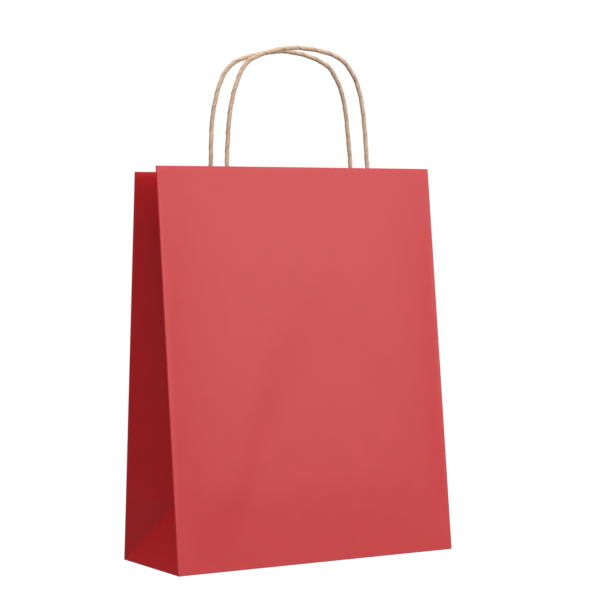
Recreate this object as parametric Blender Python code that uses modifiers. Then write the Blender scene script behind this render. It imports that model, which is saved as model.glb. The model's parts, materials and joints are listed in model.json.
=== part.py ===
"""A block-bottomed paper gift bag with side gussets and two twisted paper handles.

Metres, +Z up. The origin is the middle of the bottom, on the surface that the bag stands on. The front
panel faces -Y. The bag stands as it does once opened by hand: flat bottom, both large panels leaning
towards each other, and the gussets folded in along their centre creases.
"""

import math

import bmesh
import bpy
from mathutils import Matrix, Vector

# Driving dimensions
BAG_WIDTH = 0.250
BAG_DEPTH = 0.110
PANEL_LENGTH = 0.320  # from the bottom edge to the hem, along the paper
FRONT_LEAN = math.radians(4.36)  # each large panel leans inwards from its bottom edge
BACK_LEAN = math.radians(7.45)
HEM_DEPTH = 0.040  # the turned-in top of the bag

PAPER = 0.0003  # thickness of a layer of paper
GAP = 0.0003  # clearance between layers that touch
LAYER = PAPER + GAP

# Bottom: two flaps pasted over each other, on two triangular tucks
FLAP_REACH = 0.075  # how far each flap reaches in from its own edge
TUCK_INSET = 0.0012
WALL_FOOT = 0.0012  # the large panels start this far up, above the flaps' edges
GUSSET_FOOT = 0.0019

# Gussets
FOOT_TILT = math.radians(25.5)  # the triangle at the foot of each gusset tips inwards
GUSSET_DIP = 0.003  # the centre crease ends this far below the hem
PANEL_SIDE_SETBACK = PAPER + LAYER  # from a large panel's outer face to the gusset's outer face
CREASE_SETBACK = 0.0003  # half the clearance between the two halves of a gusset
GUSSET_FOOT_ROWS = 4  # rows up to the tip of the foot's triangle, above it and across the hem
GUSSET_ROWS = 16
GUSSET_HEM_ROWS = 4
GUSSET_COLUMNS = 4
GUSSET_HEM_SIDE_MARGIN = 0.10  # shares of a gusset half's width left free of its hem
GUSSET_HEM_CREASE_MARGIN = 0.04

# Hems and the lengthwise seam on the large panels
HEM_SIDE_MARGIN = 0.0035
HEM_TOP_INSET = 0.0004
SEAM_WIDTH = 0.016
SEAM_SIDE_MARGIN = 0.0035

# Handles: a loop of twisted paper cord, its two ends glued between a pair of paper patches
CORD_DIAMETER = 0.0035
CORD_END_WIDTH = 0.0044  # the glued ends are pressed flat
CORD_END_THICKNESS = 0.0025
CORD_END_LENGTH = 0.036  # below the hem
PATCH_WIDTH = 0.165
PATCH_HEIGHT = 0.040
PATCH_TOP = 0.004  # the patches end this far below the hem
BEND_HEIGHT = 0.005  # a handle bends at this height above the hem
BEND_BELOW = 0.0026  # lengths left free below and above the bend
BEND_ABOVE = 0.0016
HANDLE_POINTS = 44
CORD_BEVEL_STEPS = 2
CORD_END_SIDES = 12

# Each handle's half spacing, height above the hem and shift along the panel
HANDLES = {
    "front": {"half_spacing": 0.0646, "height": 0.0970, "shift": 0.0028},
    "back": {"half_spacing": 0.0657, "height": 0.1010, "shift": 0.0069},
}

# The loop's outline from one end to the other, as shares of the half spacing and the height
HANDLE_OUTLINE = [
    (-1.0, 0.0),
    (-0.985, 0.216),
    (-0.954, 0.412),
    (-0.887, 0.615),
    (-0.775, 0.806),
    (-0.672, 0.884),
    (-0.530, 0.926),
    (-0.310, 0.970),
    (-0.050, 1.0),
    (0.160, 1.0),
    (0.430, 0.976),
    (0.635, 0.930),
    (0.750, 0.868),
    (0.848, 0.762),
    (0.913, 0.640),
    (0.957, 0.455),
    (0.980, 0.250),
    (1.0, 0.0),
]

# Each slot's colour and roughness
RED_PAPER = ((0.60, 0.035, 0.040), 0.55)
KRAFT_PAPER = ((0.56, 0.39, 0.26), 0.85)
TWISTED_CORD = ((0.58, 0.38, 0.24), 0.75)

AXIS_MARK_SIZE = 0.02
COLLECTION = "gift_bag"


def clear_scene():
    for item in list(bpy.data.objects):
        bpy.data.objects.remove(item, do_unlink=True)


def new_collection(name):
    collection = bpy.data.collections.new(name)
    bpy.context.scene.collection.children.link(collection)
    return collection


def paper_material(name, colour, roughness):
    material = bpy.data.materials.new(name)
    material.use_nodes = True
    shader = material.node_tree.nodes["Principled BSDF"]
    shader.inputs["Base Color"].default_value = (*colour, 1.0)
    shader.inputs["Roughness"].default_value = roughness
    shader.inputs["Metallic"].default_value = 0.0
    return material


def wall_frame(distance, lean, turn):
    """A wall's frame: X along its bottom edge, Y up the paper and Z outwards."""
    return (
        Matrix.Rotation(turn, 4, "Z")
        @ Matrix.Translation((0.0, -distance, 0.0))
        @ Matrix.Rotation(math.pi / 2 - lean, 4, "X")
    )


FRAMES = {
    "front": wall_frame(BAG_DEPTH / 2, FRONT_LEAN, 0.0),
    "back": wall_frame(BAG_DEPTH / 2, BACK_LEAN, math.pi),
    "left": wall_frame(BAG_WIDTH / 2, FOOT_TILT, -math.pi / 2),
    "right": wall_frame(BAG_WIDTH / 2, FOOT_TILT, math.pi / 2),
}


def on_wall(side, x, up, depth):
    """A point on a wall: x along it, up the paper, and depth inwards from its outer face."""
    return FRAMES[side] @ Vector((x, up, -depth))


def add(collection, name, data, material):
    item = bpy.data.objects.new(name, data)
    item.data.materials.append(material)
    collection.objects.link(item)
    return item


def hinge_empty(collection, name, matrix):
    """Marks a joint's axis, which is the empty's X axis, and carries the pieces that turn about it."""
    empty = bpy.data.objects.new(name, None)
    empty.empty_display_size = AXIS_MARK_SIZE
    empty.matrix_world = matrix
    collection.objects.link(empty)
    return empty


def flat_sheet(collection, name, outline, material, matrix, depth=0.0, parent=None):
    """A flat piece of paper: a filled outline in a frame's XY plane, its outer face depth inwards."""
    curve = bpy.data.curves.new(name, "CURVE")
    curve.dimensions = "2D"
    curve.fill_mode = "BOTH"
    curve.extrude = PAPER / 2
    spline = curve.splines.new("POLY")
    spline.points.add(len(outline) - 1)
    for point, (x, y) in zip(spline.points, outline):
        point.co = (x, y, 0.0, 1.0)
    spline.use_cyclic_u = True
    item = add(collection, name, curve, material)
    inwards = Matrix.Translation((0.0, 0.0, -(depth + PAPER / 2)))
    if parent is None:
        item.matrix_world = matrix @ inwards
    else:
        item.parent = parent
        item.matrix_local = inwards
    return item


def rectangle(x_low, x_high, y_low, y_high):
    return [(x_low, y_low), (x_high, y_low), (x_high, y_high), (x_low, y_high)]


def flap_outline():
    """A bottom flap: full width at its edge, cut back at 45 degrees to half the depth, then straight."""
    half_width = BAG_WIDTH / 2
    half_depth = BAG_DEPTH / 2
    inner_half = half_width - half_depth
    return [
        (-half_width, -half_depth),
        (half_width, -half_depth),
        (inner_half, 0.0),
        (inner_half, FLAP_REACH - half_depth),
        (-inner_half, FLAP_REACH - half_depth),
        (-inner_half, 0.0),
    ]


def triangle_outline(half_base, height, foot, inset):
    """An isosceles triangle standing foot above its base line, its corners pulled in by inset."""
    return [(-half_base + inset + foot, foot), (half_base - inset - foot, foot), (0.0, height - inset)]


def make_bottom(collection, red):
    """The pasted bottom. The back flap is outermost, the front flap lies on it, the tucks on both."""
    for side, turn, height in (("back", math.pi, 0.0), ("front", 0.0, LAYER)):
        matrix = Matrix.Rotation(turn, 4, "Z")
        flat_sheet(collection, f"bottom_flap_{side}", flap_outline(), red, matrix, -height - PAPER)
    tuck = triangle_outline(BAG_DEPTH / 2, BAG_DEPTH / 2, 0.0, TUCK_INSET)
    for side, sign in (("left", -1.0), ("right", 1.0)):
        edge = Matrix.Translation((sign * BAG_WIDTH / 2, 0.0, 0.0))
        matrix = edge @ Matrix.Rotation(sign * math.pi / 2, 4, "Z")
        flat_sheet(collection, f"bottom_tuck_{side}", tuck, red, matrix, -2 * LAYER - PAPER)


def gusset_crease(side):
    """The two ends of a gusset's centre crease: the tip of the foot's triangle, and the top."""
    sign = -1.0 if side == "left" else 1.0
    foot = on_wall(side, 0.0, BAG_DEPTH / 2, 0.0)
    front_top = on_wall("front", 0.0, PANEL_LENGTH, 0.0)
    back_top = on_wall("back", 0.0, PANEL_LENGTH, 0.0)
    half_mouth = (back_top - front_top).length / 2
    fold_in = math.sqrt((BAG_DEPTH / 2) ** 2 - half_mouth**2)
    middle = (front_top + back_top) / 2
    top = Vector((sign * (BAG_WIDTH / 2 - fold_in), middle.y, middle.z - GUSSET_DIP))
    return foot, top


def gusset_edges(side, half, up):
    """The outer and inner ends of one row across a gusset half, at a length up the paper."""
    sign = -1.0 if side == "left" else 1.0
    towards = 1.0 if half == "back" else -1.0
    along = BAG_WIDTH / 2 * (sign if half == "front" else -sign)
    outer = on_wall(half, along, up, PANEL_SIDE_SETBACK)
    foot, top = gusset_crease(side)
    half_depth = BAG_DEPTH / 2
    if up < half_depth:
        corner = on_wall(half, along, 0.0, PANEL_SIDE_SETBACK)
        inner = corner.lerp(foot, up / half_depth)
    else:
        inner = foot.lerp(top, (up - half_depth) / (PANEL_LENGTH - half_depth))
    inner = inner + Vector((0.0, towards * CREASE_SETBACK, 0.0))
    return outer, inner


def ruled_sheet(collection, name, rows, thickness_sign, material, lift=0.0):
    """A twisted sheet of paper ruled between two edges, with its thickness towards the bag's inside."""
    mesh = bpy.data.meshes.new(name)
    work = bmesh.new()
    grid = []
    for outer, inner in rows:
        line = [outer.lerp(inner, step / GUSSET_COLUMNS) for step in range(GUSSET_COLUMNS + 1)]
        grid.append([work.verts.new(point) for point in line])
    for lower, upper in zip(grid, grid[1:]):
        for near in range(GUSSET_COLUMNS):
            work.faces.new((lower[near], lower[near + 1], upper[near + 1], upper[near]))
    work.normal_update()
    if lift:
        for vertex in work.verts:
            vertex.co += vertex.normal * lift * thickness_sign
    work.to_mesh(mesh)
    work.free()
    item = add(collection, name, mesh, material)
    solid = item.modifiers.new("paper", "SOLIDIFY")
    solid.thickness = PAPER
    solid.offset = thickness_sign
    return item


def steps(low, high, count):
    return [low + (high - low) * step / count for step in range(count + 1)]


def make_gusset(collection, side, red):
    """One gusset: the triangle at its foot, two halves folded in, and the hem turned in at its top."""
    half_depth = BAG_DEPTH / 2
    foot = triangle_outline(half_depth, half_depth, GUSSET_FOOT, TUCK_INSET)
    flat_sheet(collection, f"{side}_gusset_foot", foot, red, FRAMES[side])
    for half in ("front", "back"):
        inward_sign = 1.0 if (side == "left") == (half == "front") else -1.0
        levels = steps(GUSSET_FOOT, half_depth, GUSSET_FOOT_ROWS)
        levels += steps(half_depth, PANEL_LENGTH, GUSSET_ROWS)[1:]
        rows = [gusset_edges(side, half, up) for up in levels]
        ruled_sheet(collection, f"{side}_gusset_{half}_half", rows, inward_sign, red)
        hem_rows = []
        for up in steps(PANEL_LENGTH - HEM_DEPTH, PANEL_LENGTH - HEM_TOP_INSET, GUSSET_HEM_ROWS):
            outer, inner = gusset_edges(side, half, up)
            hem_outer = outer.lerp(inner, GUSSET_HEM_SIDE_MARGIN)
            hem_inner = inner.lerp(outer, GUSSET_HEM_CREASE_MARGIN)
            hem_rows.append((hem_outer, hem_inner))
        ruled_sheet(collection, f"{side}_gusset_{half}_hem", hem_rows, inward_sign, red, lift=LAYER)


def make_cord_end(collection, name, x, depth, material, parent):
    """A glued end of the handle's cord, pressed flat between the patches: a cylinder of size 1, scaled."""
    length = CORD_END_LENGTH + BEND_HEIGHT - BEND_BELOW
    mesh = bpy.data.meshes.new(name)
    work = bmesh.new()
    flatten = Matrix.Diagonal((CORD_END_WIDTH, CORD_END_THICKNESS, length, 1.0))
    upright = Matrix.Rotation(-math.pi / 2, 4, "X")
    ends = {"segments": CORD_END_SIDES, "radius1": 0.5, "radius2": 0.5, "depth": 1.0}
    bmesh.ops.create_cone(work, cap_ends=True, matrix=upright @ flatten, **ends)
    work.to_mesh(mesh)
    work.free()
    item = add(collection, name, mesh, material)
    item.parent = parent
    middle = PANEL_LENGTH - CORD_END_LENGTH + length / 2
    item.matrix_local = Matrix.Translation((x, middle, -depth))
    return item


def smooth_point(points, place):
    """A point on the smooth curve through points, place being counted in points from the first."""
    last = len(points) - 1
    index = min(int(place), last - 1)
    share = place - index
    before, start, end, after = (points[min(max(index + step, 0), last)] for step in (-1, 0, 1, 2))
    return (
        start * 2.0
        + (end - before) * share
        + (before * 2.0 - start * 5.0 + end * 4.0 - after) * share**2
        + (start * 3.0 - before - end * 3.0 + after) * share**3
    ) / 2.0


def handle_route(side):
    """The loop's centre line above its bend: along the panel and up, from one end to the other."""
    size = HANDLES[side]
    outline = [Vector((x * size["half_spacing"], z * size["height"])) for x, z in HANDLE_OUTLINE]
    last = len(outline) - 1
    route = [smooth_point(outline, last * step / HANDLE_POINTS) for step in range(HANDLE_POINTS + 1)]
    start = BEND_HEIGHT + BEND_ABOVE
    above = [point for point in route if point.y > start + CORD_DIAMETER / 2]
    first_end = Vector((above[0].x, start))
    last_end = Vector((above[-1].x, start))
    return [first_end, *above, last_end]


def make_handle(collection, side, material, hinge):
    """The free loop of a handle, standing upright from its bend above the hem."""
    name = f"{side}_handle"
    curve = bpy.data.curves.new(name, "CURVE")
    curve.dimensions = "3D"
    curve.bevel_depth = CORD_DIAMETER / 2
    curve.bevel_resolution = CORD_BEVEL_STEPS
    curve.use_fill_caps = True
    route = handle_route(side)
    spline = curve.splines.new("POLY")
    spline.points.add(len(route) - 1)
    for point, place in zip(spline.points, route):
        point.co = (place.x, 0.0, place.y - BEND_HEIGHT, 1.0)
    item = add(collection, name, curve, material)
    item.parent = hinge
    return item


def seam_outline():
    """The lengthwise lap of the blank, pasted inside the back panel along one edge."""
    seam_outer = BAG_WIDTH / 2 - SEAM_SIDE_MARGIN
    seam_high = PANEL_LENGTH - HEM_DEPTH - GAP
    return rectangle(-seam_outer, -seam_outer + SEAM_WIDTH, WALL_FOOT + LAYER, seam_high)


def make_large_wall(collection, side, red, kraft, cord):
    """A large panel with its hem and seam, its pair of patches, and its handle's glued ends and loop."""
    half_width = BAG_WIDTH / 2
    hinge = hinge_empty(collection, f"{side}_panel_axis", FRAMES[side])

    def layer(name, outline, depth, material=red):
        flat_sheet(collection, name, outline, material, FRAMES[side], depth, hinge)

    layer(f"{side}_panel", rectangle(-half_width, half_width, WALL_FOOT, PANEL_LENGTH), 0.0)
    hem_half = half_width - HEM_SIDE_MARGIN
    hem_top = PANEL_LENGTH - HEM_TOP_INSET
    layer(f"{side}_hem", rectangle(-hem_half, hem_half, PANEL_LENGTH - HEM_DEPTH, hem_top), LAYER)
    if side == "back":
        layer("side_seam_flap", seam_outline(), LAYER)

    size = HANDLES[side]
    turn = 1.0 if side == "front" else -1.0
    middle = size["shift"] * turn
    patch_high = PANEL_LENGTH - PATCH_TOP
    patch_low = patch_high - PATCH_HEIGHT
    patch = rectangle(middle - PATCH_WIDTH / 2, middle + PATCH_WIDTH / 2, patch_low, patch_high)
    layer(f"{side}_outer_patch", patch, 2 * LAYER, kraft)
    cord_depth = 3 * LAYER + CORD_END_THICKNESS / 2
    layer(f"{side}_inner_patch", patch, 3 * LAYER + CORD_END_THICKNESS + GAP, kraft)
    for end, sign in (("left", -1.0), ("right", 1.0)):
        x = middle + sign * turn * size["half_spacing"]
        make_cord_end(collection, f"{side}_handle_{end}_end", x, cord_depth, cord, hinge)

    bend = on_wall(side, middle, PANEL_LENGTH + BEND_HEIGHT, cord_depth)
    bend_axis = hinge_empty(collection, f"{side}_handle_axis", Matrix.Translation(bend))
    make_handle(collection, side, cord, bend_axis)


clear_scene()
bag = new_collection(COLLECTION)
red_paper = paper_material("red_paper", *RED_PAPER)
kraft_paper = paper_material("kraft_paper", *KRAFT_PAPER)
twisted_cord = paper_material("twisted_paper_cord", *TWISTED_CORD)

make_bottom(bag, red_paper)
for hand in ("left", "right"):
    make_gusset(bag, hand, red_paper)
for side in ("front", "back"):
    make_large_wall(bag, side, red_paper, kraft_paper, twisted_cord)
bpy.context.view_layer.update()
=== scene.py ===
"""The finished look of a red paper gift bag with twisted paper handles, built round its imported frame."""

import json
import math

import bmesh
import bpy
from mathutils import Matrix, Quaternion, Vector


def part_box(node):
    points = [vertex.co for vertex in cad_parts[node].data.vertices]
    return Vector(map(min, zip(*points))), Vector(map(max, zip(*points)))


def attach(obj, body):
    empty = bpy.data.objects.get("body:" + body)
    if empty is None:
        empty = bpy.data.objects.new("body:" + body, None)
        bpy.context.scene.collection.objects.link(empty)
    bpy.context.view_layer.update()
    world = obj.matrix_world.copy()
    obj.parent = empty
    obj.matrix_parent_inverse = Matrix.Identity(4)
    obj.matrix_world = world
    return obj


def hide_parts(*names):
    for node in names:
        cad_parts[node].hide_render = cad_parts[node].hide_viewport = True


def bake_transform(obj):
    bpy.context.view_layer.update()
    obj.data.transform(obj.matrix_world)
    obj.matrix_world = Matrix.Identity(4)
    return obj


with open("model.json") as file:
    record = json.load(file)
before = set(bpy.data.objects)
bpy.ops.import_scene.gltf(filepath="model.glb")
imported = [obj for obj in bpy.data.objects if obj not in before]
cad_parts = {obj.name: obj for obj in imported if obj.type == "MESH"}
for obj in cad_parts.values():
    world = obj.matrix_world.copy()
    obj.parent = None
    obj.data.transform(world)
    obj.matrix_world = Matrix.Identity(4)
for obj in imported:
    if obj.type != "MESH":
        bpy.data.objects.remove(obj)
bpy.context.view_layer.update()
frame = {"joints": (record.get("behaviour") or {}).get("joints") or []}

# ---------------------------------------------------------------------------------------------
# Camera. A long lens about level with the middle of the bag and its handles, to the left of the
# front panel. It is tipped by just over a degree, as a camera held by hand is.
# ---------------------------------------------------------------------------------------------
CAMERA_LENS = 108.91
CAMERA_TARGET = Vector((0.0158, 0.0, 0.2108))
CAMERA_AZIMUTH = math.radians(-27.81)
CAMERA_ELEVATION = math.radians(0.256)
CAMERA_DISTANCE = 1.5139
CAMERA_ROLL = math.radians(-1.319)

camera_data = bpy.data.cameras.new("camera")
camera_data.lens = CAMERA_LENS
camera = bpy.data.objects.new("camera", camera_data)
bpy.context.scene.collection.objects.link(camera)
bpy.context.scene.camera = camera
towards_camera = Vector((
    math.sin(CAMERA_AZIMUTH) * math.cos(CAMERA_ELEVATION),
    -math.cos(CAMERA_AZIMUTH) * math.cos(CAMERA_ELEVATION),
    math.sin(CAMERA_ELEVATION),
))
camera.location = CAMERA_TARGET + towards_camera * CAMERA_DISTANCE
camera.rotation_mode = "QUATERNION"
camera.rotation_quaternion = (-towards_camera).to_track_quat("-Z", "Y") @ Quaternion((0, 0, 1), CAMERA_ROLL)

# ---------------------------------------------------------------------------------------------
# Studio. A pale floor that turns into an even white sweep further out, with four soft lights: the
# key in front and above, a low fill to the right, one overhead, and a weak one at the left gusset.
# ---------------------------------------------------------------------------------------------
FLOOR_RADIUS = 3.0
FLOOR_SIDES = 96
FLOOR_LEVEL = -0.0004
FLOOR_TONE = (0.27, 0.27, 0.27, 1.0)
FLOOR_LIFT = 0.84
SWEEP_STARTS, SWEEP_ENDS = 0.30, 0.90
BACKDROP_BRIGHTNESS, ROOM_BRIGHTNESS = 1.0, 0.08
LIGHTS_AIM = Vector((0.0, 0.0, 0.2))


def add_node(tree, kind, inputs=None, **settings):
    """A node with its settings made, and each input given a value or joined to another node's output."""
    made = tree.nodes.new(kind)
    for name, value in settings.items():
        setattr(made, name, value)
    for name, value in (inputs or {}).items():
        socket = made.inputs[name]
        if isinstance(value, bpy.types.NodeSocket):
            tree.links.new(value, socket)
        else:
            socket.default_value = value
    return made


def math_node(tree, operation, *values):
    """The output of a Math node on one, two or three numbers or sockets."""
    return add_node(tree, "ShaderNodeMath", dict(enumerate(values)), operation=operation).outputs[0]


def between(tree, value, low, high, low_result=0.0, high_result=1.0):
    """A smooth change from low_result to high_result as value goes from low to high."""
    inputs = {
        "Value": value,
        "From Min": low,
        "From Max": high,
        "To Min": low_result,
        "To Max": high_result,
    }
    return add_node(tree, "ShaderNodeMapRange", inputs, interpolation_type="SMOOTHSTEP").outputs["Result"]


def floor_material():
    """A matte floor near the bag, lifted to white as it is seen, that fades into an evenly lit sweep."""
    material = bpy.data.materials.new("white_floor")
    material.use_nodes = True
    tree = material.node_tree
    tree.nodes.clear()
    place = add_node(tree, "ShaderNodeTexCoord").outputs["Object"]
    away = add_node(tree, "ShaderNodeVectorMath", {0: place}, operation="LENGTH").outputs["Value"]
    share = between(tree, away, SWEEP_STARTS, SWEEP_ENDS)
    matte = add_node(tree, "ShaderNodeBsdfDiffuse", {"Color": FLOOR_TONE}).outputs[0]
    seen = add_node(tree, "ShaderNodeLightPath").outputs["Is Camera Ray"]
    lift_strength = math_node(tree, "MULTIPLY", seen, FLOOR_LIFT)
    lift = add_node(tree, "ShaderNodeEmission", {"Strength": lift_strength}).outputs[0]
    near = add_node(tree, "ShaderNodeAddShader", {0: matte, 1: lift}).outputs[0]
    brightness = between(tree, seen, 0.0, 1.0, ROOM_BRIGHTNESS, BACKDROP_BRIGHTNESS)
    far = add_node(tree, "ShaderNodeEmission", {"Strength": brightness}).outputs[0]
    both = add_node(tree, "ShaderNodeMixShader", {0: share, 1: near, 2: far}).outputs[0]
    add_node(tree, "ShaderNodeOutputMaterial", {"Surface": both})
    return material


floor_mesh = bpy.data.meshes.new("studio_floor")
work = bmesh.new()
bmesh.ops.create_circle(work, cap_ends=True, segments=FLOOR_SIDES, radius=FLOOR_RADIUS)
bmesh.ops.translate(work, verts=work.verts, vec=(0.0, 0.0, FLOOR_LEVEL))
work.to_mesh(floor_mesh)
work.free()
floor = bpy.data.objects.new("studio_floor", floor_mesh)
floor_mesh.materials.append(floor_material())
bpy.context.scene.collection.objects.link(floor)

world = bpy.data.worlds.new("studio")
world.use_nodes = True
bpy.context.scene.world = world
sky = world.node_tree
seen = add_node(sky, "ShaderNodeLightPath").outputs["Is Camera Ray"]
strength = between(sky, seen, 0.0, 1.0, ROOM_BRIGHTNESS, BACKDROP_BRIGHTNESS)
sky.links.new(strength, sky.nodes["Background"].inputs["Strength"])
sky.nodes["Background"].inputs["Color"].default_value = (1.0, 1.0, 1.0, 1.0)

LIGHTS = {
    "key_light": {"place": (-0.45, -1.15, 1.45), "width": 0.9, "power": 11.0},
    "fill_light": {"place": (0.98, -2.00, 0.74), "width": 1.5, "power": 33.0},
    "top_light": {"place": (-0.3, 0.3, 2.0), "width": 1.6, "power": 26.0},
    "side_light": {"place": (-2.0, -1.0, 1.3), "width": 0.8, "power": 9.0},
}
for name, light in LIGHTS.items():
    lamp = bpy.data.lights.new(name, "AREA")
    lamp.size = light["width"]
    lamp.energy = light["power"]
    holder = bpy.data.objects.new(name, lamp)
    holder.location = light["place"]
    aim = LIGHTS_AIM - holder.location
    holder.rotation_mode = "QUATERNION"
    holder.rotation_quaternion = aim.to_track_quat("-Z", "Y")
    holder.visible_camera = False
    bpy.context.scene.collection.objects.link(holder)
bpy.context.scene.view_settings.view_transform = "Standard"

# ---------------------------------------------------------------------------------------------
# Handles. Each is one length of kraft paper strip twisted tight into a cord. Its ends are pressed
# flat and glued inside a panel, and the loop between them stands up by its own stiffness.
# ---------------------------------------------------------------------------------------------
joints = {joint["name"]: joint for joint in frame["joints"]}
HALF_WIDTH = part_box("front_panel")[1].x
HALF_DEPTH = -joints["front_panel_lean"]["pos_m"][1]
FACING = {"front": -1.0, "back": 1.0}
LEAN = {"front": math.radians(4.36), "back": math.radians(7.45)}
PANEL_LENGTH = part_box("front_panel")[1].z / math.cos(LEAN["front"])


def smooth(value, low, high):
    """0 below low, 1 above high, and a smooth change between them."""
    share = min(max((value - low) / (high - low), 0.0), 1.0)
    return share * share * (3.0 - 2.0 * share)


# How far the large panels stand out from flat, which the cords' glued ends follow.
PANEL_BELLY = 0.0010
BELLY_STARTS = 0.070
BELLY_FADES, BELLY_FADE = 0.200, 0.35
STIFF_EDGE = 0.004
ARCH_DEPTH, ARCH_HEIGHT, ARCH_HALF_WIDTH, ARCH_SHIFT = 0.0016, 0.200, 0.105, 0.020
ARCH_SOFTNESS = 0.045
ARCH_FADES, ARCH_ENDS = 0.240, 0.310
CREASE_LEVEL = HALF_DEPTH
CROSS_CREASE_RISE = 0.0004
CROSS_CREASE_REACH = 0.008
# The cord, its pressed and glued ends, its bend at the hem, and the strip that it is twisted from.
CORD_DIAMETER = 0.0035
CORD_GLUED_LENGTH = 0.036
CORD_GLUED_DEPTH = 0.0021
CORD_PRESSED_WIDTH, CORD_PRESSED_THICKNESS = 0.0044, 0.0023
PRESS_BELOW_HEM, PRESS_ABOVE_HEM = 0.010, 0.001
LIFT_BELOW_HEM, LIFT_DEPTH = 0.002, 0.0027
BEND_HEIGHT = 0.005
CORD_SAMPLE = 0.0010
CORD_SECTION_STEP = 0.0005
CORD_RING_POINTS = 36
TWIST_WANDER_SCALE, TWIST_WANDER = 38.0, 0.55
SECOND_EDGE_TURN, SECOND_EDGE_SHARE = 0.86, 0.30
# Each loop's half spacing where it bends at the hem, and its outline above the hem from end to end.
CORD_LOOPS = {
    "front": {
        "half_spacing": 0.0646,
        "seed": 2.0,
        "outline": [
            (-0.0634, 0.0217), (-0.0614, 0.0409), (-0.0570, 0.0603), (-0.0495, 0.0782),
            (-0.0434, 0.0854), (-0.0355, 0.0900), (-0.0260, 0.0934), (-0.0145, 0.0963),
            (-0.0025, 0.0980), (0.0085, 0.0980), (0.0198, 0.0969), (0.0315, 0.0946),
            (0.0422, 0.0902), (0.0496, 0.0832), (0.0554, 0.0738), (0.0589, 0.0638),
            (0.0611, 0.0535), (0.0632, 0.0335),
        ],
    },
    "back": {
        "half_spacing": 0.0657,
        "seed": 7.0,
        "outline": [
            (-0.0648, 0.0268), (-0.0630, 0.0465), (-0.0583, 0.0660), (-0.0538, 0.0776),
            (-0.0489, 0.0852), (-0.0436, 0.0902), (-0.0370, 0.0938), (-0.0295, 0.0964),
            (-0.0210, 0.0985), (-0.0100, 0.1008), (0.0015, 0.1022), (0.0130, 0.1017),
            (0.0242, 0.0998), (0.0365, 0.0960), (0.0470, 0.0902), (0.0538, 0.0808),
            (0.0586, 0.0696), (0.0610, 0.0594), (0.0625, 0.0492), (0.0642, 0.0288),
        ],
    },
}


def panel_swell(side, x, up):
    """How far a large panel stands out from flat: a light belly, an arch, and the back's cross crease."""
    across = max(0.0, 1.0 - (abs(x) / (HALF_WIDTH - STIFF_EDGE)) ** 4) * smooth(up, 0.0, BELLY_STARTS)
    belly = PANEL_BELLY * (1.0 - BELLY_FADE * smooth(up, BELLY_FADES, PANEL_LENGTH))
    arch_top = ARCH_HEIGHT * (1.0 - ((x - ARCH_SHIFT) / ARCH_HALF_WIDTH) ** 2)
    arch = ARCH_DEPTH * smooth(up, arch_top - ARCH_SOFTNESS, arch_top + ARCH_SOFTNESS)
    arch *= 1.0 - smooth(up, ARCH_FADES, ARCH_ENDS)
    ridge = 0.0
    if side == "back":
        ridge = CROSS_CREASE_RISE * math.exp(-abs(up - CREASE_LEVEL) / CROSS_CREASE_REACH)
    return across * (belly + arch + ridge)


def on_panel(side, x, up, depth):
    """A point on a large panel: x across it, up the paper, and depth inwards from its outer face."""
    lean = LEAN[side]
    inwards = depth - panel_swell(side, x, up)
    y = FACING[side] * (HALF_DEPTH - up * math.sin(lean) - inwards * math.cos(lean))
    return Vector((x, y, up * math.cos(lean) - inwards * math.sin(lean)))


def smooth_route(points, step):
    """Points a step apart on the smooth curve through the given ones."""
    route = []
    last = len(points) - 1
    for index in range(last):
        before, start, end, after = (points[min(max(index + k, 0), last)] for k in (-1, 0, 1, 2))
        count = max(2, round((end - start).length / step))
        for part in range(count):
            t = part / count
            route.append((
                start * 2.0
                + (end - before) * t
                + (before * 2.0 - start * 5.0 + end * 4.0 - after) * t**2
                + (start * 3.0 - before - end * 3.0 + after) * t**3
            ) / 2.0)
    route.append(points[-1])
    return route


def cord_route(side):
    """A handle's centre line: up from one glued end, round the loop, and down to the other."""
    loop = CORD_LOOPS[side]
    bend = Vector(joints[f"{side}_handle_swing"]["pos_m"])
    hem_level = bend.z - BEND_HEIGHT

    def leg(x):
        glued = [
            on_panel(side, x, PANEL_LENGTH - CORD_GLUED_LENGTH * share, CORD_GLUED_DEPTH)
            for share in (1.0, 2 / 3, 1 / 3)
        ]
        lift = on_panel(side, x, PANEL_LENGTH - LIFT_BELOW_HEM, LIFT_DEPTH)
        return [*glued, lift, Vector((x, bend.y, bend.z))]

    left, right = (leg(bend.x + sign * loop["half_spacing"]) for sign in (-1.0, 1.0))
    over = [Vector((bend.x + x, bend.y, hem_level + z)) for x, z in loop["outline"]]
    return smooth_route([*left, *over, *reversed(right)], CORD_SAMPLE)


def turning_line(tree, given):
    """The cord's centre line, tilted so that the strip's outline turns along it, a little unevenly."""
    spacing = {"Curve": given["Geometry"], "Length": CORD_SECTION_STEP}
    line = add_node(tree, "GeometryNodeResampleCurve", spacing, mode="LENGTH")
    length = add_node(tree, "GeometryNodeSplineParameter").outputs["Length"]
    line = add_node(
        tree, "GeometryNodeStoreNamedAttribute",
        {"Geometry": line.outputs[0], "Name": "along", "Value": length}, data_type="FLOAT", domain="POINT",
    )
    wander_place = math_node(tree, "MULTIPLY_ADD", length, TWIST_WANDER_SCALE, given["Seed"])
    slow = {"W": wander_place, "Detail": 1.0, "Scale": 1.0}
    wander = add_node(tree, "ShaderNodeTexNoise", slow, noise_dimensions="1D")
    turns = math_node(tree, "DIVIDE", length, given["Twist Length"])
    turns = math_node(tree, "MULTIPLY_ADD", wander.outputs[0], TWIST_WANDER, turns)
    tilt = math_node(tree, "MULTIPLY", turns, math.tau)
    return add_node(tree, "GeometryNodeSetCurveTilt", {"Curve": line.outputs[0], "Tilt": tilt}).outputs[0]


def scaled(tree, vector, factor):
    """A vector made longer or shorter."""
    inputs = {"Vector": vector, "Scale": factor}
    return add_node(tree, "ShaderNodeVectorMath", inputs, operation="SCALE").outputs[0]


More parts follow.
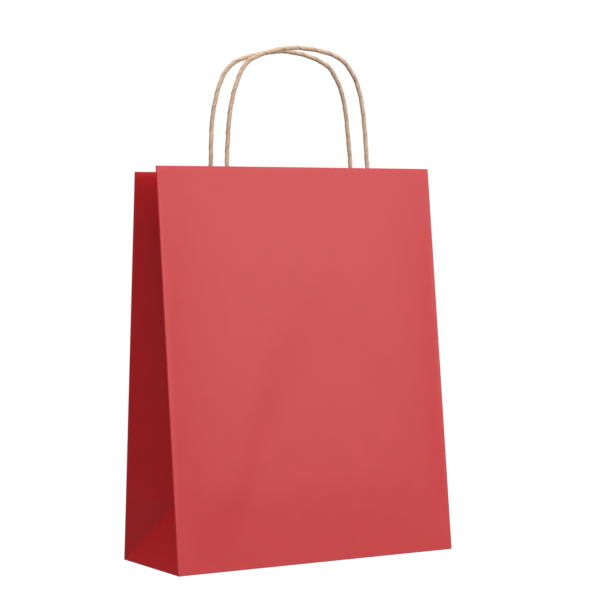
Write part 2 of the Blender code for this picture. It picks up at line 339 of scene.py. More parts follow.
def second_edge_place(tree, around):
    """From 0 to 1 twice round the cord: the strip's inner turns show as a second, lower edge."""
    return math_node(tree, "FRACT", math_node(tree, "MULTIPLY_ADD", around, 2.0, SECOND_EDGE_TURN))


def strip_outline(tree, given):
    """The cord's section: a ring whose radius steps down where the wrapped strip's edges lie."""
    circle = {"Resolution": CORD_RING_POINTS, "Radius": 1.0}
    ring = add_node(tree, "GeometryNodeCurvePrimitiveCircle", circle, mode="RADIUS")
    around = add_node(tree, "GeometryNodeSplineParameter").outputs["Factor"]
    ring = add_node(
        tree, "GeometryNodeStoreNamedAttribute",
        {"Geometry": ring.outputs[0], "Name": "around", "Value": around}, data_type="FLOAT", domain="POINT",
    )
    outer_edge = math_node(tree, "SUBTRACT", around, 0.5)
    second_edge = math_node(tree, "SUBTRACT", second_edge_place(tree, around), 0.5)
    edges = math_node(tree, "MULTIPLY_ADD", second_edge, SECOND_EDGE_SHARE, outer_edge)
    swell = math_node(tree, "MULTIPLY_ADD", edges, given["Strip Edge"], 1.0)
    radius = math_node(tree, "MULTIPLY", swell, math_node(tree, "MULTIPLY", given["Diameter"], 0.5))
    position = add_node(tree, "GeometryNodeInputPosition").outputs[0]
    shaped = {"Geometry": ring.outputs[0], "Position": scaled(tree, position, radius)}
    return add_node(tree, "GeometryNodeSetPosition", shaped).outputs[0]


def wrinkled(tree, given, tube):
    """The tube with the paper's creases raised and sunk along its normals."""
    coarse, fine = (
        add_node(
            tree, "ShaderNodeTexNoise",
            {"W": given["Seed"], "Scale": scale, "Detail": 2.0}, noise_dimensions="4D",
        ).outputs[0]
        for scale in (210.0, 900.0)
    )
    lumps = math_node(tree, "MULTIPLY_ADD", fine, 0.45, coarse)
    lumps = math_node(tree, "MULTIPLY", math_node(tree, "SUBTRACT", lumps, 0.72), given["Wrinkle"])
    offset = scaled(tree, add_node(tree, "GeometryNodeInputNormal").outputs[0], lumps)
    return add_node(tree, "GeometryNodeSetPosition", {"Geometry": tube, "Offset": offset}).outputs[0]


def cord_tree():
    """Geometry Nodes that sweep a wrapped strip's outline along a curve, turning it as it goes."""
    tree = bpy.data.node_groups.new("twisted_paper_cord", "GeometryNodeTree")
    tree.is_modifier = True
    tree.interface.new_socket("Geometry", in_out="OUTPUT", socket_type="NodeSocketGeometry")
    tree.interface.new_socket("Geometry", in_out="INPUT", socket_type="NodeSocketGeometry")
    for name in ("Diameter", "Twist Length", "Strip Edge", "Wrinkle", "Seed"):
        tree.interface.new_socket(name, in_out="INPUT", socket_type="NodeSocketFloat")
    tree.interface.new_socket("Material", in_out="INPUT", socket_type="NodeSocketMaterial")
    given = add_node(tree, "NodeGroupInput").outputs
    line, ring = turning_line(tree, given), strip_outline(tree, given)
    swept = {"Curve": line, "Profile Curve": ring, "Fill Caps": True}
    tube = add_node(tree, "GeometryNodeCurveToMesh", swept).outputs[0]
    tube = wrinkled(tree, given, tube)
    real = add_node(tree, "GeometryNodeRealizeInstances", {"Geometry": tube}).outputs[0]
    painted = add_node(tree, "GeometryNodeSetMaterial", {"Geometry": real, "Material": given["Material"]})
    add_node(tree, "NodeGroupOutput", {"Geometry": painted.outputs[0]})
    return tree


def mix_colour(tree, share, first, second, blend="MIX"):
    """A colour between two colours, or their product or other blend."""
    made = tree.nodes.new("ShaderNodeMix")
    made.data_type = "RGBA"
    made.blend_type = blend
    sockets = {socket.name: socket for socket in made.inputs if socket.enabled}
    for name, value in (("Factor", share), ("A", first), ("B", second)):
        if isinstance(value, bpy.types.NodeSocket):
            tree.links.new(value, sockets[name])
        else:
            sockets[name].default_value = value
    return [socket for socket in made.outputs if socket.enabled][0]


def noise(tree, place, scale, detail, roughness=0.5):
    """Noise from 0 to 1 over the points at place."""
    inputs = {"Vector": place, "Scale": scale, "Detail": detail, "Roughness": roughness}
    return add_node(tree, "ShaderNodeTexNoise", inputs).outputs["Fac"]


def finish_surface(tree, tone, roughness, relief, strength, distance):
    """Joins a material's colour, roughness and relief to its shader."""
    shader = tree.nodes["Principled BSDF"]
    tree.links.new(tone, shader.inputs["Base Color"])
    tree.links.new(roughness, shader.inputs["Roughness"])
    bump = add_node(tree, "ShaderNodeBump", {"Height": relief, "Strength": strength, "Distance": distance})
    tree.links.new(bump.outputs["Normal"], shader.inputs["Normal"])
    return shader


def cord_material():
    """Natural kraft paper twisted into a cord: streaks follow the strip, and painted shade darkens its
    edges.
    """
    material = bpy.data.materials.new("twisted_kraft_paper")
    material.use_nodes = True
    tree = material.node_tree
    pale, tan = (0.80, 0.56, 0.40, 1.0), (0.58, 0.385, 0.255, 1.0)
    brown, shadow = (0.46, 0.28, 0.17, 1.0), (0.20, 0.11, 0.06, 1.0)
    around = add_node(tree, "ShaderNodeAttribute", attribute_name="around").outputs["Fac"]
    along = add_node(tree, "ShaderNodeAttribute", attribute_name="along").outputs["Fac"]
    across_strip = math_node(tree, "MULTIPLY", around, 0.011)
    down_strip = math_node(tree, "MULTIPLY", along, 0.12)
    on_strip = add_node(tree, "ShaderNodeCombineXYZ", {"X": across_strip, "Y": down_strip})
    streaks = noise(tree, on_strip.outputs[0], 1500.0, 4.0, 0.6)
    place = add_node(tree, "ShaderNodeTexCoord").outputs["Object"]
    patches = noise(tree, place, 90.0, 3.0)
    fibres = noise(tree, place, 2600.0, 3.0, 0.7)
    tone = mix_colour(tree, between(tree, streaks, 0.32, 0.68), tan, pale)
    tone = mix_colour(tree, between(tree, patches, 0.35, 0.65, 0.0, 0.35), tone, brown)
    # Painted shade: the tone darkens towards the shadow colour in the grooves along the strip's outer edge
    # and its second, lower edge.
    seam = math_node(tree, "MINIMUM", around, math_node(tree, "SUBTRACT", 1.0, around))
    outer_shade = between(tree, seam, 0.0, 0.07, 0.65, 0.0)
    second_shade = between(tree, second_edge_place(tree, around), 0.0, 0.10, 0.20, 0.0)
    tone = mix_colour(tree, math_node(tree, "MAXIMUM", outer_shade, second_shade), tone, shadow)
    relief = math_node(tree, "MULTIPLY_ADD", fibres, 0.5, streaks)
    finish_surface(tree, tone, between(tree, fibres, 0.3, 0.7, 0.70, 0.88), relief, 0.55, 0.00012)
    return material


def plain_mesh(source, name):
    """The evaluated object as a plain mesh object at the origin; the source is removed."""
    graph = bpy.context.evaluated_depsgraph_get()
    seen = source.evaluated_get(graph)
    mesh = bpy.data.meshes.new_from_object(seen, preserve_all_data_layers=True, depsgraph=graph)
    mesh.name = name
    bpy.data.objects.remove(source, do_unlink=True)
    made = bpy.data.objects.new(name, mesh)
    bpy.context.scene.collection.objects.link(made)
    return made


def press_ends(cord, side):
    """Flattens the two glued ends across the panel, where the press closed the patches on them."""
    lean = LEAN[side]
    outwards = Vector((0.0, FACING[side] * math.cos(lean), math.sin(lean)))
    up_paper = Vector((0.0, -FACING[side] * math.sin(lean), math.cos(lean)))
    foot = Vector((0.0, FACING[side] * HALF_DEPTH, 0.0))
    bend = Vector(joints[f"{side}_handle_swing"]["pos_m"])
    half = CORD_LOOPS[side]["half_spacing"]
    for vertex in cord.data.vertices:
        local = vertex.co - foot
        up = local.dot(up_paper)
        share = 1.0 - smooth(up, PANEL_LENGTH - PRESS_BELOW_HEM, PANEL_LENGTH + PRESS_ABOVE_HEM)
        if share > 0.0:
            middle_x = bend.x + math.copysign(half, vertex.co.x - bend.x)
            middle_depth = CORD_GLUED_DEPTH - panel_swell(side, middle_x, up)
            away = -local.dot(outwards) - middle_depth
            thin = (CORD_PRESSED_THICKNESS / CORD_DIAMETER - 1.0) * share
            wide = (CORD_PRESSED_WIDTH / CORD_DIAMETER - 1.0) * share
            vertex.co -= outwards * away * thin
            vertex.co.x += (vertex.co.x - middle_x) * wide


twisted_kraft = cord_material()
sweep = cord_tree()
CORD_SETTINGS = {"Diameter": CORD_DIAMETER, "Twist Length": 0.0152, "Strip Edge": 0.16, "Wrinkle": 0.00022}
for side in ("front", "back"):
    route = cord_route(side)
    line = bpy.data.curves.new("cord_line", "CURVE")
    line.dimensions = "3D"
    spline = line.splines.new("POLY")
    spline.points.add(len(route) - 1)
    for point, place in zip(spline.points, route):
        point.co = (*place, 1.0)
    guide = bpy.data.objects.new("cord_line", line)
    bpy.context.scene.collection.objects.link(guide)
    twist = guide.modifiers.new("twist", "NODES")
    twist.node_group = sweep
    sockets = {item.name: item.identifier for item in sweep.interface.items_tree if item.in_out == "INPUT"}
    for name, value in CORD_SETTINGS.items():
        twist[sockets[name]] = value
    twist[sockets["Seed"]] = CORD_LOOPS[side]["seed"]
    twist[sockets["Material"]] = twisted_kraft
    cord = plain_mesh(guide, f"{side}_handle_cord")
    press_ends(cord, side)
    cord.data.shade_smooth()
    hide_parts(f"{side}_handle", f"{side}_handle_left_end", f"{side}_handle_right_end")
    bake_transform(cord)

# ---------------------------------------------------------------------------------------------
# Large panels. The blank's front and back: red outside, bare kraft inside, folded round a blunt
# edge into the gussets and under into the bottom, with the top turned in and glued as a hem.
# ---------------------------------------------------------------------------------------------
PAPER = 0.00026
SIDE_FOLD_RADIUS = 0.0008
BOTTOM_FOLD_RADIUS = 0.0006
HEM_FOLD_RADIUS = 0.00027
HEM_DEPTH = 0.040
CREASE_RADIUS = 0.0003
CREASE_OPENS = 0.006
FOLD_STRIP = 0.0010
FOLD_STEPS = 8
FOOT_TILT = math.radians(25.5)
GUSSET_DIP = 0.003
SIDE_SETBACK = 0.0009
GUSSET_COLUMNS = 22
CREASE_WEAR = 0.6
CREASE_MARK, FOLD_MARK, SIDE_FOLD_MARK = 0.0012, 0.002, 0.0016
PANEL_STEP = 0.005
SAME_PLACE = 2e-6
FOLD_ANGLE = math.radians(50.0)


def grain_group():
    """Paper's own surface: a fine tooth, a cloudy formation, and short fibres pressed into it."""
    tree = bpy.data.node_groups.new("paper_grain", "ShaderNodeTree")
    tree.interface.new_socket("Place", in_out="INPUT", socket_type="NodeSocketVector")
    tree.interface.new_socket("Tooth", in_out="INPUT", socket_type="NodeSocketFloat")
    tree.interface.new_socket("Cloud", in_out="INPUT", socket_type="NodeSocketFloat")
    tree.interface.new_socket("Tone", in_out="OUTPUT", socket_type="NodeSocketFloat")
    tree.interface.new_socket("Height", in_out="OUTPUT", socket_type="NodeSocketFloat")
    given = add_node(tree, "NodeGroupInput").outputs
    tooth = noise(tree, given["Place"], given["Tooth"], 3.0)
    cloud = noise(tree, given["Place"], given["Cloud"], 4.0)
    stretched = add_node(tree, "ShaderNodeMapping", {"Vector": given["Place"], "Scale": (1.0, 1.0, 0.18)})
    fibre = noise(tree, stretched.outputs[0], 1400.0, 2.0)
    tone = math_node(tree, "MULTIPLY_ADD", fibre, 0.35, math_node(tree, "MULTIPLY", cloud, 0.65))
    rise = math_node(tree, "MULTIPLY_ADD", tooth, 0.6, math_node(tree, "MULTIPLY", fibre, 0.4))
    add_node(tree, "NodeGroupOutput", {"Tone": tone, "Height": rise})
    return tree


def wear_group():
    """Where a crease has been worked: broken patches along the sheet's own fold mark."""
    tree = bpy.data.node_groups.new("fold_wear", "ShaderNodeTree")
    tree.interface.new_socket("Place", in_out="INPUT", socket_type="NodeSocketVector")
    tree.interface.new_socket("Amount", in_out="INPUT", socket_type="NodeSocketFloat")
    tree.interface.new_socket("Worn", in_out="OUTPUT", socket_type="NodeSocketFloat")
    given = add_node(tree, "NodeGroupInput").outputs
    fold = add_node(tree, "ShaderNodeAttribute", attribute_name="fold").outputs["Fac"]
    patchy = between(tree, noise(tree, given["Place"], 420.0, 4.0), 0.30, 0.70, 0.35, 1.0)
    marked = math_node(tree, "MULTIPLY", fold, patchy)
    add_node(tree, "NodeGroupOutput", {"Worn": math_node(tree, "MULTIPLY", marked, given["Amount"])})
    return tree


grain = grain_group()
wear = wear_group()


def paper_material(name, light, dark, worn_colour, wear_amount, roughness, sheen=0.4):
    """A sheet of paper: its colour drifts with the formation, and its creases are paler."""
    material = bpy.data.materials.new(name)
    material.use_nodes = True
    tree = material.node_tree
    place = add_node(tree, "ShaderNodeTexCoord").outputs["Object"]
    surface = add_node(tree, "ShaderNodeGroup", node_tree=grain)
    tree.links.new(place, surface.inputs["Place"])
    surface.inputs["Tooth"].default_value = 1900.0
    surface.inputs["Cloud"].default_value = 55.0
    worn = add_node(tree, "ShaderNodeGroup", node_tree=wear)
    tree.links.new(place, worn.inputs["Place"])
    worn.inputs["Amount"].default_value = wear_amount
    tone = mix_colour(tree, between(tree, surface.outputs["Tone"], 0.36, 0.64), dark, light)
    tone = mix_colour(tree, worn.outputs["Worn"], tone, worn_colour)
    height = surface.outputs["Height"]
    matte = between(tree, height, 0.3, 0.7, roughness - 0.05, roughness + 0.05)
    shader = finish_surface(tree, tone, matte, height, 0.35, 0.00006)
    shader.inputs["Specular IOR Level"].default_value = sheen
    return material


red_outside = paper_material(
    "red_printed_paper",
    light=(0.590, 0.010, 0.015, 1.0),
    dark=(0.570, 0.009, 0.014, 1.0),
    worn_colour=(0.72, 0.16, 0.15, 1.0),
    wear_amount=0.10,
    roughness=0.43,
    sheen=0.48,
)
kraft_inside = paper_material(
    "bare_kraft_paper",
    light=(0.60, 0.42, 0.27, 1.0),
    dark=(0.50, 0.33, 0.20, 1.0),
    worn_colour=(0.66, 0.50, 0.35, 1.0),
    wear_amount=0.40,
    roughness=0.85,
)
RED_SHEET = (red_outside, kraft_inside)


def hump(value, middle, reach):
    """1 at the middle, falling smoothly to 0 at the reach on each side."""
    return 1.0 - smooth(abs(value - middle), 0.0, reach)


def spaced(low, high, step, folds=(), reach=0.0024, fine=0.0004):
    """Levels from low to high about a step apart, closer together near each fold."""
    count = max(1, round((high - low) / step))
    places = [low + (high - low) * k / count for k in range(count + 1)]
    near = round(reach / fine)
    places += [fold + fine * k for fold in folds for k in range(-near, near + 1)]
    chosen = []
    for place in sorted(place for place in places if low <= place <= high):
        if not chosen or place - chosen[-1] > fine * 0.6:
            chosen.append(place)
    chosen[-1] = high
    return chosen


def arc(start, end, steps):
    """Angles from start to end, in equal steps."""
    return [start + (end - start) * k / steps for k in range(steps + 1)]


def on_flat(side, x, up, depth):
    """A point on a large panel as if its paper were dead flat."""
    lean = LEAN[side]
    y = FACING[side] * (HALF_DEPTH - up * math.sin(lean) - depth * math.cos(lean))
    return Vector((x, y, up * math.cos(lean) - depth * math.sin(lean)))


def crease_line(side, up):
    """The gusset's centre crease, or below it the edge of the foot's triangle, as a panel measures it.

    The answer is the distance across from the bag's middle, the depth behind the panel's outer face,
    and the level up the paper.
    """
    tops = [on_flat(wall, 0.0, PANEL_LENGTH, 0.0) for wall in ("front", "back")]
    half_mouth = (tops[1] - tops[0]).length / 2
    fold_in = math.sqrt(HALF_DEPTH**2 - half_mouth**2)
    middle = (tops[0] + tops[1]) / 2
    top = Vector((HALF_WIDTH - fold_in, middle.y, middle.z - GUSSET_DIP))
    tip = Vector((HALF_WIDTH - HALF_DEPTH * math.sin(FOOT_TILT), 0.0, HALF_DEPTH * math.cos(FOOT_TILT)))
    if up < HALF_DEPTH:
        place = on_flat(side, HALF_WIDTH, 0.0, SIDE_SETBACK).lerp(tip, up / HALF_DEPTH)
    else:
        place = tip.lerp(top, (up - HALF_DEPTH) / (PANEL_LENGTH - HALF_DEPTH))
    behind = HALF_DEPTH - FACING[side] * place.y
    lean = LEAN[side]
    depth = behind * math.cos(lean) - place.z * math.sin(lean)
    return place.x, depth, behind * math.sin(lean) + place.z * math.cos(lean)


def fold_section(side, up):
    """One level's section: from the panel's flat, round the side fold, across half a gusset to its crease.

    Each entry is the distance across, the depth, the level up the paper, the turn of its outward normal,
    and the share of the way across the gusset.
    """
    crease_x, crease_depth, crease_up = crease_line(side, up)
    radius = CREASE_RADIUS * smooth(up, HALF_DEPTH, HALF_DEPTH + CREASE_OPENS)
    centre = Vector((HALF_WIDTH - SIDE_FOLD_RADIUS, SIDE_FOLD_RADIUS))
    inner = Vector((crease_x + radius, crease_depth))
    line = inner - centre
    reach = (SIDE_FOLD_RADIUS + radius) / line.length
    line.normalize()
    normal = line * min(reach, 1.0) + Vector((line.y, -line.x)) * math.sqrt(max(0.0, 1.0 - reach**2))
    turn = math.atan2(normal.x, -normal.y)
    entries = []
    for angle in arc(0.0, turn, FOLD_STEPS):
        out = Vector((math.sin(angle), -math.cos(angle)))
        place = centre + out * SIDE_FOLD_RADIUS
        entries.append((place.x, place.y, up, angle, 0.0))
    start = centre + normal * SIDE_FOLD_RADIUS
    end = inner - normal * radius
    strip = min(FOLD_STRIP, (end - start).length / 2)
    shares = [strip / max((end - start).length, 1e-9)]
    shares += [shares[0] + (1.0 - shares[0]) * k / GUSSET_COLUMNS for k in range(1, GUSSET_COLUMNS + 1)]
    for share in shares:
        place = start.lerp(end, share)
        level = up + (crease_up - up) * share
        entries.append((place.x, place.y, level, turn, share))
    for angle in arc(turn, math.pi / 2, FOLD_STEPS // 2)[1:]:
        place = inner - Vector((math.sin(angle), -math.cos(angle))) * radius
        entries.append((place.x, place.y, crease_up, angle, 1.0))
    return entries


def wall_levels():
    """Along the sheet's own length: round the bottom fold, up the wall, over the hem and down inside.

    Each entry is the level up the paper, the inset from the outer face, and how folded the paper is there.
    """
    rows = [
        (BOTTOM_FOLD_RADIUS * (1.0 - math.sin(turn)), BOTTOM_FOLD_RADIUS * (1.0 - math.cos(turn)), 1.0)
        for turn in arc(math.pi / 2, 0.0, FOLD_STEPS)
    ]
    hem_low = PANEL_LENGTH - HEM_DEPTH
    hem_high = PANEL_LENGTH - HEM_FOLD_RADIUS
    creases = (BOTTOM_FOLD_RADIUS, CREASE_LEVEL, hem_low)
    for up in spaced(BOTTOM_FOLD_RADIUS, hem_high, PANEL_STEP, folds=creases)[1:]:
        folded = max(hump(up, BOTTOM_FOLD_RADIUS, FOLD_MARK), hump(up, hem_high, FOLD_MARK))
        rows.append((up, 0.0, folded))
    for turn in arc(0.0, math.pi, FOLD_STEPS)[1:]:
        level = hem_high + HEM_FOLD_RADIUS * math.sin(turn)
        rows.append((level, HEM_FOLD_RADIUS * (1.0 - math.cos(turn)), 1.0))
    for up in reversed(spaced(hem_low, hem_high, PANEL_STEP)[:-1]):
        rows.append((up, 2 * HEM_FOLD_RADIUS, hump(up, hem_high, FOLD_MARK)))
    return rows


def sheet_object(name, grid, folds, outwards, materials=RED_SHEET, thickness=PAPER):
    """A sheet of paper as one closed body: its outer face is the grid, and its thickness goes inwards.

    grid holds rows of points, folds a mark from 0 to 1 for how folded the paper is at each of them, and
    outwards is the way that the middle of the outer face looks.
    """
    mesh = bpy.data.meshes.new(name)
    work = bmesh.new()
    mark = work.verts.layers.float.new("fold")
    flat = work.loops.layers.uv.new("UVMap")
    lines = []
    for points, marks in zip(grid, folds):
        line = []
        for point, fold in zip(points, marks):
            vertex = work.verts.new(point)
            vertex[mark] = fold
            line.append(vertex)
        lines.append(line)
    for row, (lower, upper) in enumerate(zip(lines, lines[1:])):
        for column in range(len(lower) - 1):
            face = work.faces.new((lower[column], lower[column + 1], upper[column + 1], upper[column]))
            face.smooth = True
            corners = ((column, row), (column + 1, row), (column + 1, row + 1), (column, row + 1))
            for loop, (u, v) in zip(face.loops, corners):
                loop[flat].uv = (u / (len(lower) - 1), v / (len(lines) - 1))
    bmesh.ops.remove_doubles(work, verts=work.verts, dist=SAME_PLACE)
    work.normal_update()
    middle = lines[len(lines) // 2][len(lines[0]) // 2]
    facing = sum((face.normal for face in middle.link_faces), Vector())
    if facing.dot(outwards) < 0.0:
        bmesh.ops.reverse_faces(work, faces=work.faces)
    work.to_mesh(mesh)
    work.free()
    for material in materials:
        mesh.materials.append(material)
    item = bpy.data.objects.new(f"{name}_flat", mesh)
    bpy.context.scene.collection.objects.link(item)
    thick = item.modifiers.new("thickness", "SOLIDIFY")
    thick.thickness = thickness
    thick.offset = -1.0
    thick.material_offset = 1
    thick.material_offset_rim = 1
    made = plain_mesh(item, name)
    made.data.set_sharp_from_angle(angle=FOLD_ANGLE)
    return made


def panel_sheet(side):
    """A large panel with its side folds, bottom fold and hem, as one sheet."""
    flat_half = HALF_WIDTH - SIDE_FOLD_RADIUS
    across = spaced(-flat_half, flat_half, PANEL_STEP, folds=(-flat_half, flat_half))
    grid, folds = [], []
    for up, inset, fold in wall_levels():
        edge = fold_section(side, up)[:FOLD_STEPS + 2]
        right, right_fold = [], []
        for x, depth, level, angle, share in edge:
            x -= math.sin(angle) * inset
            depth += math.cos(angle) * inset
            right.append((x, depth, level))
            right_fold.append(max(fold, 1.0 if share == 0.0 else 0.5))
        points = [on_flat(side, -x, level, depth) for x, depth, level in reversed(right[1:])]
        points += [on_panel(side, x, up, inset) for x in across]
        points += [on_flat(side, x, level, depth) for x, depth, level in right[1:]]
        grid.append(points)
        worked = CREASE_WEAR * hump(up, CREASE_LEVEL, CREASE_MARK) if side == "back" else 0.0
        marks = [max(fold, worked, hump(abs(x), flat_half, SIDE_FOLD_MARK)) for x in across]
        folds.append([*reversed(right_fold[1:]), *marks, *right_fold[1:]])
    return sheet_object(f"{side}_panel_paper", grid, folds, Vector((0.0, FACING[side], 0.0)))


for side in ("front", "back"):
    panel = panel_sheet(side)
    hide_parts(f"{side}_panel", f"{side}_hem")
    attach(panel, f"{side}_panel")

# ---------------------------------------------------------------------------------------------
# Gussets. The blank's two narrow sides, folded in along a centre crease, each half with its part
# of the hem. The paper is also creased across where the bottom folds up when the bag lies flat.
# ---------------------------------------------------------------------------------------------
GUSSET_SWELL = 0.0006
SWELL_STARTS, SWELL_ENDS = 0.02, 0.10
CENTRE_MARK_SHARE, CENTRE_WEAR = 0.985, 0.8
GUSSET_CREASE_HEIGHT = 0.0490
GUSSET_START = BOTTOM_FOLD_RADIUS * 1.5
GUSSET_BEND_REACH = 0.018


def gusset_sheet(hand, side, part):
    """Half a gusset from side fold to centre crease: above the cross crease with its hem, or below it."""
    sign = -1.0 if hand == "left" else 1.0
    rows = [row for row in wall_levels() if row[0] >= GUSSET_START]
    split = min(range(len(rows)), key=lambda index: abs(rows[index][0] - CREASE_LEVEL))
    grid, folds = [], []
    for up, inset, fold in rows[split:] if part == "upper" else rows[: split + 1]:
        points, marks = [], []
        for x, depth, level, angle, share in fold_section(side, up)[FOLD_STEPS + 1:]:
            belly = math.sin(math.pi * share) ** 2
            cross = math.exp(-abs(level - GUSSET_CREASE_HEIGHT) / CROSS_CREASE_REACH)
            swell = GUSSET_SWELL * smooth(up, SWELL_STARTS, SWELL_ENDS)
            out = (swell + CROSS_CREASE_RISE * cross) * belly - inset
            x += math.sin(angle) * out
            depth -= math.cos(angle) * out
            points.append(on_flat(side, sign * x, level, depth))
            marks.append(max(fold, smooth(share, CENTRE_MARK_SHARE, 1.0) * CENTRE_WEAR))
        grid.append(points)
        folds.append(marks)
    name = f"{hand}_gusset_{side}_{part}_paper"
    return sheet_object(name, grid, folds, Vector((sign, -FACING[side], 0.0)))


def bend_lines(side):
    """Two points for each part of a gusset half: the foot's tip, and a point a short reach from it.

    The upper part's point lies off the centre crease and the lower part's off the foot's slanting crease,
    at reaches that agree along the cross crease. The parts are built without bending along these lines.
    """
    tip = Vector((0.0, 0.0, HALF_DEPTH * math.cos(FOOT_TILT)))
    tops = [on_flat(wall, 0.0, PANEL_LENGTH, 0.0) for wall in ("front", "back")]
    rise = ((tops[0] + tops[1]) / 2 - tip).normalized()
    off_crease = Vector((0.0, FACING[side] * rise.z, -FACING[side] * rise.y))
    off_foot = Vector((0.0, FACING[side] * tip.z, HALF_DEPTH)).normalized()
    cross = on_flat(side, 0.0, CREASE_LEVEL, SIDE_SETBACK) - tip
    lower_reach = GUSSET_BEND_REACH * cross.dot(off_foot) / cross.dot(off_crease)
    return {
        "upper": (tip, tip + off_crease * GUSSET_BEND_REACH),
        "lower": (tip, tip + off_foot * lower_reach),
    }


for hand in ("left", "right"):
    for side in ("front", "back"):
        for part, (start, end) in bend_lines(side).items():
            half = gusset_sheet(hand, side, part)
            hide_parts(f"{hand}_gusset_{side}_half", f"{hand}_gusset_{side}_hem")
            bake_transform(half)

# ---------------------------------------------------------------------------------------------
# Gusset feet. The triangle at the foot of each gusset stands on the bottom's short edge, creased
# along both slanting sides, and runs a little way behind the two halves above it.
# ---------------------------------------------------------------------------------------------
FOOT_LAP = 0.0035
FOOT_LAP_DEPTH = PAPER + 0.0001
FOOT_CORNER = 0.0002
FOOT_TIP_RISE = 0.0012
FOOT_LAP_STARTS = 0.004
FOOT_ROW_STEP = 0.002
FOOT_COLUMNS = 12
FOOT_SIDE_MARK = 0.0015


def foot_sheet(hand):
    """A gusset's foot, from the fold under the bag to its tip, with a lap along each slanting side."""
    sign = -1.0 if hand == "left" else 1.0
    tangent_up = BOTTOM_FOLD_RADIUS * (1.0 + math.sin(FOOT_TILT)) / math.cos(FOOT_TILT)
    fold_middle = HALF_WIDTH - tangent_up
    rows = [
        (fold_middle + BOTTOM_FOLD_RADIUS * math.cos(turn), BOTTOM_FOLD_RADIUS * (1.0 + math.sin(turn)))
        for turn in arc(-math.pi / 2, FOOT_TILT, FOLD_STEPS)
    ]
    for up in spaced(tangent_up, HALF_DEPTH + FOOT_TIP_RISE, FOOT_ROW_STEP)[1:]:
        rows.append((HALF_WIDTH - up * math.sin(FOOT_TILT), up * math.cos(FOOT_TILT)))
    grid, folds = [], []
    for x, z in rows:
        up = z / math.cos(FOOT_TILT)
        half = max((HALF_DEPTH - SIDE_SETBACK) * (1.0 - up / HALF_DEPTH) - FOOT_CORNER, FOOT_CORNER)
        lap = smooth(up, 0.0, FOOT_LAP_STARTS)
        reach = FOOT_CORNER + (FOOT_LAP - FOOT_CORNER) * lap
        edges = [half, half + reach * 0.2, half + reach]
        inside = [half * k / FOOT_COLUMNS for k in range(1 - FOOT_COLUMNS, FOOT_COLUMNS)]
        points, marks = [], []
        for place in [*(-edge for edge in reversed(edges)), *inside, *edges]:
            behind = FOOT_LAP_DEPTH * lap if abs(place) > half + SAME_PLACE else 0.0
            back = sign * (x - behind * math.cos(FOOT_TILT))
            points.append(Vector((back, place, z - behind * math.sin(FOOT_TILT))))
            marks.append(max(hump(abs(place), half, FOOT_SIDE_MARK), hump(z, 0.0, FOLD_MARK)))
        grid.append(points)
        folds.append(marks)
    return sheet_object(f"{hand}_gusset_foot_paper", grid, folds, Vector((sign, 0.0, 0.0)))


for hand in ("left", "right"):
    foot = foot_sheet(hand)
    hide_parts(f"{hand}_gusset_foot")
    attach(foot, "bottom")

# ---------------------------------------------------------------------------------------------
# Bottom. Two flaps pasted over each other, the back one outermost, their slanting edges folded
# over the two triangular tucks that come in from the gussets.
# ---------------------------------------------------------------------------------------------
FLAP_REACH = 0.075
FLAP_COLUMNS, TUCK_COLUMNS = 40, 16
FLAP_ROW_STEP, TUCK_ROW_STEP = 0.004, 0.003
FLAP_LIFT, FLAP_LIFT_STARTS, FLAP_LIFT_ENDS = 0.0003, 0.004, 0.0005
TUCK_LEVEL, TUCK_LEVEL_REACH = 0.0006, 0.006
TUCK_TIP, TUCK_MARGIN = 0.0012, 0.0008
UNDER_FOLD_MARK, SLANT_WEAR = 0.003, 0.6
DOWNWARDS = Vector((0.0, 0.0, -1.0))


def flap_sheet(side):
    """A bottom flap, from the panel's bottom fold to its cut edge past the middle."""
    straight_half = HALF_WIDTH - HALF_DEPTH
    step_at = HALF_DEPTH - (FLAP_REACH - HALF_DEPTH)
    steps = (step_at,) if side == "front" else ()
    columns = range(-FLAP_COLUMNS, FLAP_COLUMNS + 1)
    grid, folds = [], []
    for reach in spaced(BOTTOM_FOLD_RADIUS, FLAP_REACH, FLAP_ROW_STEP, folds=steps):
        half = max(straight_half, HALF_WIDTH - reach)
        raised = 0.0
        if side == "front":
            raised = FLAP_LIFT * smooth(reach, step_at - FLAP_LIFT_STARTS, step_at - FLAP_LIFT_ENDS)
        y = FACING[side] * (HALF_DEPTH - reach)
        grid.append([Vector((half * k / FLAP_COLUMNS, y, raised)) for k in columns])
        under = hump(reach, 0.0, UNDER_FOLD_MARK)
        edge = under + SLANT_WEAR if reach < HALF_DEPTH else under
        folds.append([edge, *(under for _ in columns[1:-1]), edge])
    return sheet_object(f"bottom_flap_{side}_paper", grid, folds, DOWNWARDS)


def tuck_sheet(hand):
    """A triangular tuck, from the foot's fold to its tip."""
    sign = -1.0 if hand == "left" else 1.0
    columns = range(-TUCK_COLUMNS, TUCK_COLUMNS + 1)
    grid, folds = [], []
    for reach in spaced(BOTTOM_FOLD_RADIUS, HALF_DEPTH - TUCK_TIP, TUCK_ROW_STEP):
        half = HALF_DEPTH - reach + TUCK_MARGIN
        level = TUCK_LEVEL * smooth(reach, 0.0, TUCK_LEVEL_REACH)
        x = sign * (HALF_WIDTH - reach)
        grid.append([Vector((x, half * k / TUCK_COLUMNS, level)) for k in columns])
        folds.append([hump(reach, 0.0, UNDER_FOLD_MARK) for _ in columns])
    return sheet_object(f"bottom_tuck_{hand}_paper", grid, folds, DOWNWARDS)


for side in ("front", "back"):
    flap = flap_sheet(side)
    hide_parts(f"bottom_flap_{side}")
    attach(flap, "bottom")
for hand in ("left", "right"):
    tuck = tuck_sheet(hand)
    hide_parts(f"bottom_tuck_{hand}")
    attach(tuck, "bottom")

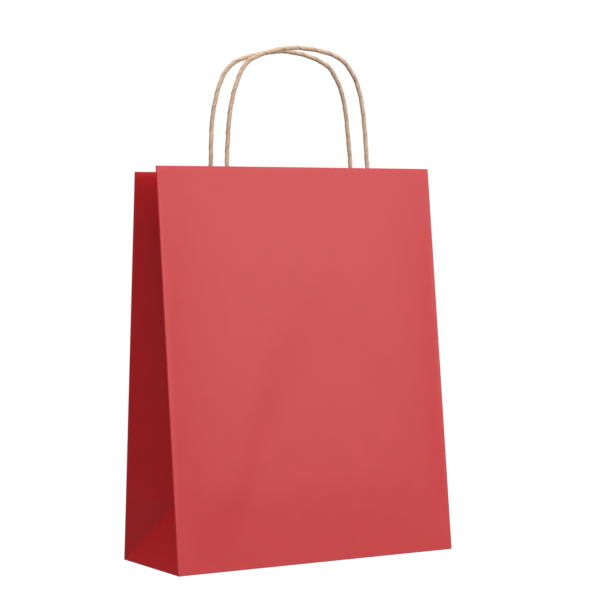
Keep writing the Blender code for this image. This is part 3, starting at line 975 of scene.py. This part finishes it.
# ---------------------------------------------------------------------------------------------
# Lengthwise seam. The blank's lap, pasted up the inside of the back panel beside one gusset; it
# stops below the hem, so that the turned-in top lies flat.
# ---------------------------------------------------------------------------------------------
SEAM_WIDTH = 0.016
SEAM_SIDE_MARGIN = 0.0035
SEAM_LOW, SEAM_HEM_GAP = 0.0015, 0.0004
SEAM_GLUE = 0.00003
SEAM_COLUMNS = 8


def seam_sheet():
    """The lap, a straight strip against the back panel's inner face."""
    high = PANEL_LENGTH - HEM_DEPTH - SEAM_HEM_GAP
    outer = HALF_WIDTH - SEAM_SIDE_MARGIN
    columns = [outer - SEAM_WIDTH * k / SEAM_COLUMNS for k in range(SEAM_COLUMNS + 1)]
    levels = spaced(SEAM_LOW, high, PANEL_STEP)
    grid = [[on_panel("back", x, up, PAPER + SEAM_GLUE) for x in columns] for up in levels]
    folds = [[0.0] * len(columns) for _ in levels]
    return sheet_object("side_seam_paper", grid, folds, Vector((0.0, FACING["back"], 0.0)))


seam = seam_sheet()
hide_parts("side_seam_flap")
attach(seam, "back_panel")

# ---------------------------------------------------------------------------------------------
# Patches. A pair of kraft strips holds each handle: the outer one is glued to the hem, the cord's
# ends lie on it, and the inner one is pressed over them both.
# ---------------------------------------------------------------------------------------------
PATCH_PAPER = 0.00022
PATCH_GAP = 0.00004
PATCH_SIZES = {side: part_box(f"{side}_inner_patch") for side in ("front", "back")}
PATCH_TOP, PATCH_HEIGHT = 0.004, 0.040
PATCH_ROW_STEP, PATCH_COLUMN_STEP, PATCH_FINE_STEP = 0.002, 0.004, 0.0005
CORD_COVER_REACH = 0.0055
COVER_MARGIN, COVER_START, COVER_TOP_SHARE = 0.001, 0.006, 0.42
kraft_patch = paper_material(
    "kraft_patch_paper",
    light=(0.56, 0.385, 0.245, 1.0),
    dark=(0.47, 0.31, 0.185, 1.0),
    worn_colour=(0.60, 0.45, 0.31, 1.0),
    wear_amount=0.3,
    roughness=0.86,
)


def patch_sheet(side, layer):
    """One patch; the inner one tents over the two pressed cord ends."""
    low, high = PATCH_SIZES[side]
    bend = Vector(joints[f"{side}_handle_swing"]["pos_m"])
    legs = [bend.x + sign * CORD_LOOPS[side]["half_spacing"] for sign in (-1.0, 1.0)]
    base = 2 * HEM_FOLD_RADIUS + PATCH_GAP
    if layer == "inner":
        base += PATCH_PAPER + PATCH_GAP
    covered = CORD_GLUED_DEPTH + CORD_PRESSED_THICKNESS / 2 + PATCH_GAP
    top = PANEL_LENGTH - PATCH_TOP
    cord_end = PANEL_LENGTH - CORD_GLUED_LENGTH
    cover_flat = CORD_PRESSED_WIDTH * COVER_TOP_SHARE
    fine_reach = CORD_COVER_REACH + COVER_MARGIN
    across = spaced(low.x, high.x, PATCH_COLUMN_STEP, folds=legs, reach=fine_reach, fine=PATCH_FINE_STEP)
    grid, folds = [], []
    for up in spaced(top - PATCH_HEIGHT, top, PATCH_ROW_STEP):
        points = []
        for x in across:
            depth = base
            if layer == "inner":
                over_cord = (covered - base) * smooth(up, cord_end - COVER_START, cord_end)
                away = min(abs(x - leg) for leg in legs)
                depth += over_cord * (1.0 - smooth(away, cover_flat, CORD_COVER_REACH))
            points.append(on_panel(side, x, up, depth))
        grid.append(points)
        folds.append([0.0] * len(points))
    outwards = Vector((0.0, FACING[side], 0.0))
    papers = (kraft_patch, kraft_patch)
    return sheet_object(f"{side}_{layer}_patch_paper", grid, folds, outwards, papers, PATCH_PAPER)


for side in ("front", "back"):
    for layer in ("outer", "inner"):
        patch = patch_sheet(side, layer)
        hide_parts(f"{side}_{layer}_patch")
        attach(patch, f"{side}_panel")

bpy.context.view_layer.update()
